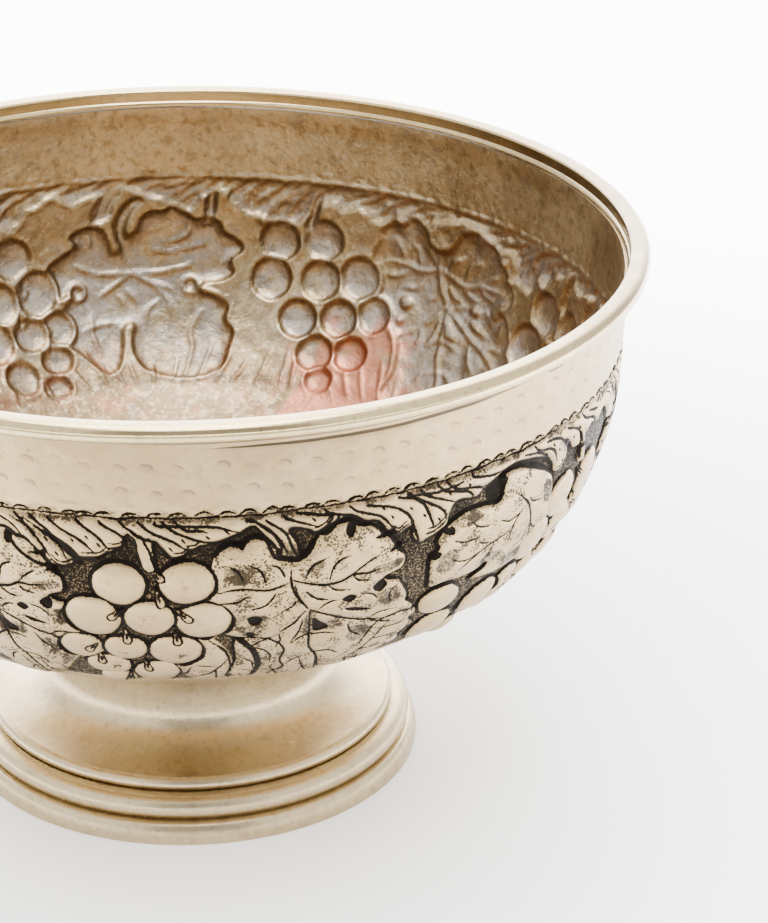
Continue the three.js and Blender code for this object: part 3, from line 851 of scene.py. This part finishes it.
def node(tree, kind, settings=None, sockets=None, output=0):
    """A node with its settings made first, then the values or links of its sockets."""
    made = tree.nodes.new(kind)
    for key, value in (settings or {}).items():
        setattr(made, key, value)
    for key, value in (sockets or {}).items():
        if isinstance(value, Value):
            tree.links.new(value.socket, made.inputs[key])
        else:
            made.inputs[key].default_value = value
    return Value(tree, made.outputs[output]) if made.outputs else None


class Finish:
    """A material of worn metal, built up layer by layer."""

    def __init__(self, name, colour, roughness):
        self.material = bpy.data.materials.new(name)
        self.material.use_nodes = True
        self.tree = self.material.node_tree
        self.tree.nodes.clear()
        self.place = node(self.tree, "ShaderNodeTexCoord", output=3)
        self.colour = tuple(colour) + (1,)
        self.roughness = roughness
        self.bump = 0.0

    def noise(self, size, detail=3.0, stretch=(1, 1, 1), shift=0.0):
        """Cloudy noise, 0 to 1, with blotches of a size in millimetres."""
        place = node(self.tree, "ShaderNodeMapping", {}, {
            "Vector": self.place, "Scale": stretch, "Location": (shift, shift, shift)})
        return node(self.tree, "ShaderNodeTexNoise", {}, {
            "Vector": place, "Scale": 1000.0 / size, "Detail": detail, "Roughness": 0.6})

    def spots(self, size):
        """Distance to scattered dots whose spacing is a size in millimetres."""
        return node(self.tree, "ShaderNodeTexVoronoi", {"feature": "F1"}, {
            "Vector": self.place, "Scale": 1000.0 / size})

    def drawn(self, key):
        """A field stored on the mesh."""
        return node(self.tree, "ShaderNodeAttribute", {"attribute_name": key}, output=2)

    def along(self, axis):
        """Object coordinate, 0 for x, 1 for y, 2 for z, in metres."""
        return node(self.tree, "ShaderNodeSeparateXYZ", {}, {0: self.place}, axis)

    def tint(self, amount, colour):
        """A colour laid over what is there, by an amount from 0 to 1."""
        made = self.tree.nodes.new("ShaderNodeMix")
        made.data_type = "RGBA"
        for index, value in ((0, amount), (6, self.colour), (7, tuple(colour) + (1,))):
            if isinstance(value, Value):
                self.tree.links.new(value.socket, made.inputs[index])
            else:
                made.inputs[index].default_value = value
        self.colour = Value(self.tree, made.outputs[2])

    def finish(self, strength=0.3, depth=0.0003):
        """The finished material, its fine relief at a strength and a depth in metres."""
        sockets = {"Base Color": self.colour, "Roughness": self.roughness, "Metallic": 1.0}
        if isinstance(self.bump, Value):
            sockets["Normal"] = node(self.tree, "ShaderNodeBump", {}, {
                "Strength": strength, "Distance": depth, "Height": self.bump})
        shader = node(self.tree, "ShaderNodeBsdfPrincipled", {}, sockets)
        node(self.tree, "ShaderNodeOutputMaterial", {}, {0: shader})
        return self.material


SILVER = (0.352, 0.254, 0.127)
GRIME = (0.010, 0.008, 0.006)


def worn_silver(name, colour, roughness, cloud, golden):
    """Plain polished plate: cloudy bloom, golden tarnish, smudges and a fine grain."""
    made = Finish(name, colour, roughness)
    bloom = made.noise(26, 4.0)
    made.tint(bloom.between(0.42, 0.72) * cloud, (0.50, 0.39, 0.24))
    made.tint(made.noise(14, 5.0, shift=0.3).between(0.5, 0.78) * golden, (0.33, 0.22, 0.09))
    made.tint(made.noise(2.4, 5.0, shift=0.5).between(0.5, 0.70) * 0.38, (0.25, 0.175, 0.095))
    made.tint(made.noise(10, 5.0, shift=0.85).between(0.54, 0.66) * 0.28, (0.30, 0.20, 0.135))
    smudge = made.noise(5.5, 3.0, shift=0.15).between(0.66, 0.76)
    made.tint(smudge * 0.5, (0.15, 0.105, 0.06))
    smears = made.noise(30, 5.0, (1, 1, 5), 0.6).between(0.48, 0.7)
    made.tint(smears * 0.3, (0.35, 0.25, 0.15))
    specks = made.spots(9).between(0.07, 0.03) * made.noise(3, shift=0.7).between(0.5, 0.6)
    made.tint(specks * 0.6, (0.16, 0.11, 0.06))
    made.roughness = roughness + bloom.between(0.3, 0.7) * 0.10
    made.bump = made.noise(8, 3.0, shift=0.1) * 0.6 + made.noise(0.9, 3.0) * 0.14
    return made


def chased_silver():
    """Plate with blackened lines, a punched ground and stippled leaves, and painted shade round the lines
    and the ground.
    """
    made = worn_silver("chased_silver", SILVER, 0.34, 0.5, 0.25)
    ragged = made.noise(1.0, 4.0, shift=0.2)
    line = made.drawn("line") + (ragged - 0.5) * 1.1 + (made.noise(4.5, shift=0.6) - 0.5) * 0.5
    black = line.between(0.42, 0.56)
    ground = made.drawn("ground")
    halo = made.drawn("halo")
    tooth = made.spots(0.6)
    pits = tooth.between(0.76, 0.56) * ground.between(0.35, 0.6)
    patchy = made.noise(7, 3.0, shift=0.9)
    dots = made.drawn("dots") * (patchy.between(0.4, 0.68) * 1.6 + 0.15)
    dot_size = 0.14 + dots * 0.55
    dotted = (made.spots(0.95) - dot_size).between(0.05, -0.05) * dots.between(0.03, 0.1)
    made.tint(made.noise(4.5, 5.0, shift=0.33).between(0.53, 0.68) * 0.4, (0.20, 0.145, 0.08))
    # Painted shade: brown darkening round the lines and the punched ground.
    made.tint(halo.between(0.12, 0.6) * 0.7, (0.22, 0.15, 0.07))
    made.tint(ground.between(0.3, 0.6) * 0.65, (0.06, 0.042, 0.024))
    smoke = made.drawn("dots").between(0.5, 0.95)
    made.tint(smoke * 0.25, (0.12, 0.085, 0.05))
    made.tint(smoke * made.noise(1.5, 5.0, shift=0.4).between(0.46, 0.6) * 0.7, (0.02, 0.015, 0.01))
    fine = (made.spots(0.6) - 0.2 - smoke * patchy * 0.6).between(0.05, -0.05) * smoke
    made.tint(fine * 0.85, GRIME)
    deep = ground.between(0.3, 0.6) * made.along(2).between(0.122, 0.144)
    made.tint(deep * made.noise(6, 3.0, shift=0.55).between(0.3, 0.55) * 0.8, GRIME)
    shaded = made.drawn("dots").between(0.1, 0.4) * patchy.between(0.45, 0.7)
    made.tint(shaded * 0.3, (0.17, 0.12, 0.065))
    made.tint(pits * 0.93, GRIME)
    made.tint(dotted * 0.85, (0.03, 0.022, 0.014))
    made.tint(black, GRIME)
    dull = black.most(pits * 0.9).most(dotted * 0.8)
    made.roughness = made.roughness + dull * 0.35 + ground * 0.08
    made.bump = made.bump - dotted.most(fine) * 0.6 - pits * 0.5 + ragged * 0.05
    return made.finish(0.5, 0.0004)


def plain_collar():
    """Plate that shows faint punch marks and the open seam under the rim."""
    made = worn_silver("collar_silver", (0.335, 0.239, 0.119), 0.33, 0.5, 0.2)
    marks = made.drawn("line") + (made.noise(1.2, shift=0.4) - 0.5) * 0.35
    made.tint(made.noise(5, 5.0, shift=0.44).between(0.5, 0.64) * 0.35, (0.25, 0.17, 0.105))
    made.tint(made.drawn("halo").between(0.05, 0.5) * 0.45, (0.27, 0.175, 0.12))
    made.tint(marks.between(0.28, 0.62) * 0.65, (0.15, 0.095, 0.06))
    made.tint(made.drawn("seam").between(0.3, 0.6) * 0.95, (0.04, 0.03, 0.02))
    return made.finish(0.6, 0.0004)


def tarnished_inside():
    """The inside: brown and grey tarnish, a painted highlight on the back wall, painted shade towards the
    bottom, copper where it wore through.
    """
    made = Finish("bowl_inside", (0.34, 0.26, 0.15), 0.27)
    edge = made.drawn("edge")
    cloud = made.noise(40, 4.0)
    made.tint(cloud.between(0.35, 0.7) * 0.7, (0.31, 0.235, 0.14))
    made.tint(made.noise(16, 5.0, shift=0.5).between(0.52, 0.75) * 0.6, (0.48, 0.37, 0.24))
    hollow = made.drawn("hollow")
    made.tint(hollow.between(0.4, 0.9) * made.noise(18, 4.0, shift=0.25).between(0.36, 0.56) * 0.75,
              (0.315, 0.29, 0.28))
    made.tint(made.noise(11, 5.0, shift=0.35).between(0.5, 0.68) * 0.5, (0.24, 0.175, 0.095))
    made.tint(edge.between(0.3, 0.9) * 0.6, (0.26, 0.17, 0.07))
    red_edges = edge.between(0.2, 0.6) * made.along(2).between(0.108, 0.092)
    made.tint(red_edges * made.noise(20, shift=0.45).between(0.45, 0.6) * 0.7, (0.42, 0.17, 0.09))
    # Painted highlight: a pale patch on the back of the inside wall, round a point.
    painted_highlight = node(made.tree, "ShaderNodeVectorMath", {"operation": "DISTANCE"}, {
        0: made.place, 1: (0.006, 0.104, 0.090)}, 1)
    painted_highlight = (0.021 - painted_highlight + (made.noise(9, 4.0, shift=0.12) - 0.5) * 0.05).between(0.0, 0.004)
    made.tint(painted_highlight * 0.75, (0.60, 0.48, 0.33))
    made.tint(made.along(2).between(0.148, 0.166) * 0.75, (0.52, 0.405, 0.235))
    # Painted shade: the inside darkens towards the bottom; the two tints after it mottle that part.
    low = made.along(2).between(0.108, 0.080)
    made.tint(low * 0.88, (0.135, 0.085, 0.045))
    made.tint(low * made.noise(5, 5.0, shift=0.7).between(0.48, 0.62) * 0.7, (0.40, 0.30, 0.18))
    made.tint(low * made.noise(9, 4.0, shift=0.77).between(0.52, 0.63) * 0.5, (0.30, 0.12, 0.07))
    upper = made.along(2).between(0.112, 0.134) * made.noise(28, 3.0, shift=0.22).between(0.35, 0.6)
    made.tint(upper * 0.35, (0.20, 0.135, 0.065))
    made.tint(made.noise(3.4, 5.0, shift=0.75).between(0.47, 0.66) * 0.6, (0.185, 0.13, 0.065))
    made.tint(made.noise(2.2, 5.0, shift=0.95).between(0.53, 0.68) * 0.55, (0.52, 0.42, 0.28))
    made.tint(made.noise(7.5, 5.0, shift=0.65).between(0.55, 0.72) * 0.5, (0.205, 0.18, 0.165))
    blot = node(made.tree, "ShaderNodeVectorMath", {"operation": "DISTANCE"}, {
        0: made.place, 1: (0.066, 0.092, 0.083)}, 1)
    pink = (0.036 - blot + (made.noise(17, 4.0, shift=0.8) - 0.5) * 0.06).between(0.0, 0.012)
    made.tint(pink * 0.75, (0.45, 0.16, 0.095))
    specks = made.spots(7).between(0.09, 0.04)
    made.tint(specks * 0.5, (0.14, 0.10, 0.06))
    made.roughness = 0.28 + cloud.between(0.3, 0.7) * 0.14 + low * 0.12
    made.bump = made.noise(7, 5.0) * 1.2 + made.noise(1.6, 4.0) * 0.3
    return made.finish(0.8, 0.0006)


chased = chased_silver()
collar_finish = plain_collar()
inside_finish = tarnished_inside()
rim_silver = worn_silver("rim_silver", (0.50, 0.395, 0.205), 0.14, 0.3, 0.15)
# Painted shade: the rim is darker, in patches, on its right-hand side.
shaded_side = rim_silver.along(0).between(0.085, 0.15) * rim_silver.noise(12, 4.0).between(0.25, 0.5)
rim_silver.tint(shaded_side * 0.75, (0.27, 0.21, 0.125))
rim_finish = rim_silver.finish(0.3, 0.0003)
foot_finish = worn_silver("foot_silver", (0.48, 0.39, 0.235), 0.25, 0.3, 0.4).finish(0.5, 0.0004)
solder_finish = worn_silver("solder", (0.42, 0.37, 0.31), 0.5, 0.3, 0.3).finish(0.5, 0.0004)

# ---- the wall of the bowl ---------------------------------------------------------------
slope_x = np.gradient(soft_height, axis=1)
slope_y = np.gradient(soft_height, axis=0)
edge_field = np.clip(np.hypot(slope_x, slope_y) / 0.22, 0, 1)
outer_fields = {"lift": frieze.height, "line": frieze.line, "ground": ground, "dots": frieze.dots,
                "halo": halo}
inner_fields = {"lift": soft_height * 1.25, "edge": edge_field,
                "hollow": frieze.blurred(frieze.motif, 2.0)}
thickness = np.full(len(frieze.down), SHEET)
bowl_pieces = []
for k in range(PANELS):
    bowl_pieces.append(wall_piece(f"frieze_panel_{k + 1}", frieze, k * PANEL_COLUMNS, PANEL_COLUMNS,
                                  outer_fields, inner_fields, thickness, [chased, inside_finish]))
collar_outer = {"lift": collar.height, "line": collar.line, "halo": collar_halo, "seam": seam}
collar_inner = {"lift": collar.height * 0.5, "edge": np.zeros(collar.height.shape)}
collar_thickness = SHEET + 0.8 * (1 - smooth(collar.down, 5, 13))
bowl_pieces.append(wall_piece("bowl_collar", collar, 0, COLLAR_COLUMNS, collar_outer, collar_inner,
                              collar_thickness, [collar_finish, inside_finish]))

well_down = np.linspace(FRIEZE_END, OUTLINE_KNOTS[-1], 30)
well_profile, well_out = wall_at(well_down)
outer_line = [(float(r), float(z)) for r, z in well_profile]
inner_line = [(float(r), float(z)) for r, z in well_profile - well_out * SHEET]
outer_line[-1] = (0, outer_line[-1][1])
inner_line[-1] = (0, inner_line[-1][1])
well = spun("bowl_well", list(reversed(outer_line)) + inner_line, collar_finish)
well.data.materials.append(inside_finish)
for face in well.data.polygons:
    if face.normal.z > 0:
        face.material_index = 1
bowl_pieces.append(well)
for piece in bowl_pieces:
    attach(piece, "root")
    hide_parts("bowl_shell")

# ---- rim --------------------------------------------------------------------------------
RIM_RADIUS = 159.9
BEAD = 3.15
bead_centre = (RIM_RADIUS - BEAD, 190.05)
rim_outline = arc(bead_centre, BEAD, BEAD, -88, 90, 22)
rim_outline += [(155.2, 193.17), (154.2, 193.02)] + arc((153.9, 191.9), 1.1, 1.05, 90, 180, 5)
rim_outline += [(152.8, 189.5), (152.8, 188.6), (152.2, 188.1), (152.0, 187.5), (152.2, 186.9)]
rim_outline += [(152.8, 186.5), (153.8, 186.5), (153.8, 189.5), (154.0, 191.6), (156, 192.1)]
rim_outline += arc(bead_centre, BEAD - 1.0, BEAD - 1.0, 88, -88, 10)
rim = spun("rim_roll", rim_outline, rim_finish, 360)
for vertex in rim.data.vertices:
    angle = math.atan2(vertex.co.x, -vertex.co.y)
    sway = 0.16 * math.sin(5 * angle + 0.7) + 0.10 * math.sin(13 * angle + 2.1)
    vertex.co.z += (sway - 0.26) * MM * 0.4
    inward = 1 - (0.10 + 0.10 * math.sin(7 * angle + 1.3)) * MM / 0.156
    vertex.co.x *= inward
    vertex.co.y *= inward
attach(rim, "root")
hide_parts("rim_moulding")

solder_outline = [(153.6, 184.8), (154.5, 185.2), (155.6, 185.8), (156.2, 186.2), (153.6, 186.2)]
solder_bead = spun("rim_seam", solder_outline, solder_finish, 256)
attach(solder_bead, "root")
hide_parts("rim_solder")

# ---- foot -------------------------------------------------------------------------------
cone_outline = [(71.3, 16.4), (72.2, 16.5), (72.7, 17.1), (72.8, 17.9), (72.7, 18.8), (72.3, 19.5)]
cone_outline.append((71.7, 20.2))
cone_outline += arc((71, 34.5), 21.2, 13.9, -90, -180, 24)
cone_outline += arc((71, 34.5), 21.2, 30.6, 180, 120, 14)[1:]
cone_inner = []
for i, (r, z) in enumerate(cone_outline):
    ahead = cone_outline[min(i + 1, len(cone_outline) - 1)]
    back = cone_outline[max(i - 1, 0)]
    run = np.array([ahead[0] - back[0], ahead[1] - back[1]])
    run /= np.hypot(*run)
    cone_inner.append((r - run[1] * 1.2, z + run[0] * 1.2))
cone_inner = [(71.2, 16.4), (71.0, 18.2)] + cone_inner[8:]
cone = spun("foot_trumpet", cone_outline + cone_inner[::-1], foot_finish, 288, 40)

step_centre = (74.34, 11.54)
step_outline = arc(step_centre, 4.56, 4.56, -48, 90, 20) + [(69.2, 16.1), (69.2, 14.9), (74.34, 14.9)]
step_outline += arc(step_centre, 3.3, 3.3, 88, -48, 8)
step = spun("foot_torus", step_outline, foot_finish, 288, 40)

band_outline = [(76.5, 0.1), (76.6, 0), (81.5, 0), (81.8, 0.3), (81.8, 1.6)]
band_outline += arc((78.7, 1.6), 3.1, 6.2, 0, 90, 14)[1:] + [(76.6, 7.8), (76.4, 7.6), (76.4, 0.4)]
base = spun("foot_band", band_outline, foot_finish, 288, 40)

foot_seam = spun("foot_seam", [(60.9, 60.4), (62.0, 60.9), (63.5, 62.0), (61.4, 62.0)], solder_finish, 192)
for piece, cad, slot in ((cone, "foot_cone", "foot_silver"), (step, "foot_step_ring", "foot_silver"),
                         (base, "foot_base_band", "foot_silver"), (foot_seam, "foot_solder", "solder")):
    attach(piece, "root")
    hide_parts(cad)

wire = frame["nodes"]["rim_core_wire"]
copper = worn_silver("copper_wire", (0.71, 0.42, 0.28), 0.38, 0.1, 0.1).finish(0.4, 0.0002)
wire.data.materials.clear()
wire.data.materials.append(copper)

# ---------------------------------------------------------------------------------------
# Studio
# ---------------------------------------------------------------------------------------
deselect_all()
bpy.ops.mesh.primitive_plane_add(size=24, location=(0, 2.0, 0))
floor = bpy.context.object
floor.name = "floor"
floor_material = bpy.data.materials.new("studio_floor")
floor_material.use_nodes = True
paper = floor_material.node_tree
paper.nodes.clear()
spot = node(paper, "ShaderNodeNewGeometry")
sideways = node(paper, "ShaderNodeSeparateXYZ", {}, {0: spot}, 0)
backwards = node(paper, "ShaderNodeSeparateXYZ", {}, {0: spot}, 1)
# Painted shadow: the floor's own glow grows with distance from the bowl, so it is darker round the bowl.
distance = (sideways * sideways + backwards * backwards).calc("SQRT")
# Painted shade: in front of the bowl the floor is darker in colour and gives off less light.
in_front = backwards.between(-0.24, -0.50) * backwards.between(-2.4, -1.4)
shade = 0.88 - in_front * 0.5
matt = node(paper, "ShaderNodeBsdfDiffuse", {}, {"Color": shade})
glow = node(paper, "ShaderNodeEmission", {}, {
    "Color": (1.0, 0.985, 0.96, 1),
    "Strength": (0.7 + distance.between(0.18, 0.66) * 7.2) * (1 - in_front)})
sheet = node(paper, "ShaderNodeAddShader", {}, {0: matt, 1: glow})
node(paper, "ShaderNodeOutputMaterial", {}, {0: sheet})
floor.data.materials.append(floor_material)

world = bpy.data.worlds.new("studio")
bpy.context.scene.world = world
world.use_nodes = True
sky = world.node_tree
sky.nodes.clear()
direction = node(sky, "ShaderNodeTexCoord")
east = node(sky, "ShaderNodeSeparateXYZ", {}, {0: direction}, 0)
north = node(sky, "ShaderNodeSeparateXYZ", {}, {0: direction}, 1)
up = node(sky, "ShaderNodeSeparateXYZ", {}, {0: direction}, 2)
bearing = node(sky, "ShaderNodeMath", {"operation": "ARCTAN2"}, {0: east, 1: 0 - north})
off_side = (bearing - math.radians(1)).calc("ABSOLUTE")
dark_side = off_side.between(math.radians(31), math.radians(22)) * up.between(0.84, 0.77)
dark_side = dark_side * up.between(-0.02, 0.05)
behind = off_side.between(math.radians(125), math.radians(170))
softbox = off_side.between(math.radians(36), math.radians(18)).most(up.between(0.92, 0.95))
softbox = softbox * up.between(0.79, 0.86)
STUDIO_SIDE = 2.45
STUDIO_BACK = 9.8
STUDIO_DARK = 0.8
STUDIO_TOP = 14.0
lit = STUDIO_SIDE + (behind * STUDIO_BACK).most(softbox * STUDIO_TOP)
strength = lit - dark_side * (lit - STUDIO_DARK)
background = node(sky, "ShaderNodeBackground", {}, {"Color": (1.0, 0.99, 0.975, 1), "Strength": strength})
node(sky, "ShaderNodeOutputWorld", {}, {0: background})

CAMERA_LENS = 126.17
CAMERA_PLACE = (-0.04988, -1.03107, 0.59190)
CAMERA_TILT = 0.43945
CAMERA_TURN = 0.115797
CAMERA_ROLL = 0.0059606
camera = bpy.data.cameras.new("camera")
camera.lens = CAMERA_LENS
camera.sensor_width = 36
camera.clip_start = 0.05
viewpoint = bpy.data.objects.new("camera", camera)
bpy.context.scene.collection.objects.link(viewpoint)
forward = Vector((math.sin(CAMERA_TURN) * math.cos(CAMERA_TILT),
                  math.cos(CAMERA_TURN) * math.cos(CAMERA_TILT), -math.sin(CAMERA_TILT)))
right = Vector((math.cos(CAMERA_TURN), -math.sin(CAMERA_TURN), 0))
upward = right.cross(forward)
right, upward = (math.cos(CAMERA_ROLL) * right + math.sin(CAMERA_ROLL) * upward,
                 -math.sin(CAMERA_ROLL) * right + math.cos(CAMERA_ROLL) * upward)
rows = [(right[i], upward[i], -forward[i], CAMERA_PLACE[i]) for i in range(3)]
viewpoint.matrix_world = Matrix(rows + [(0, 0, 0, 1)])
bpy.context.scene.camera = viewpoint
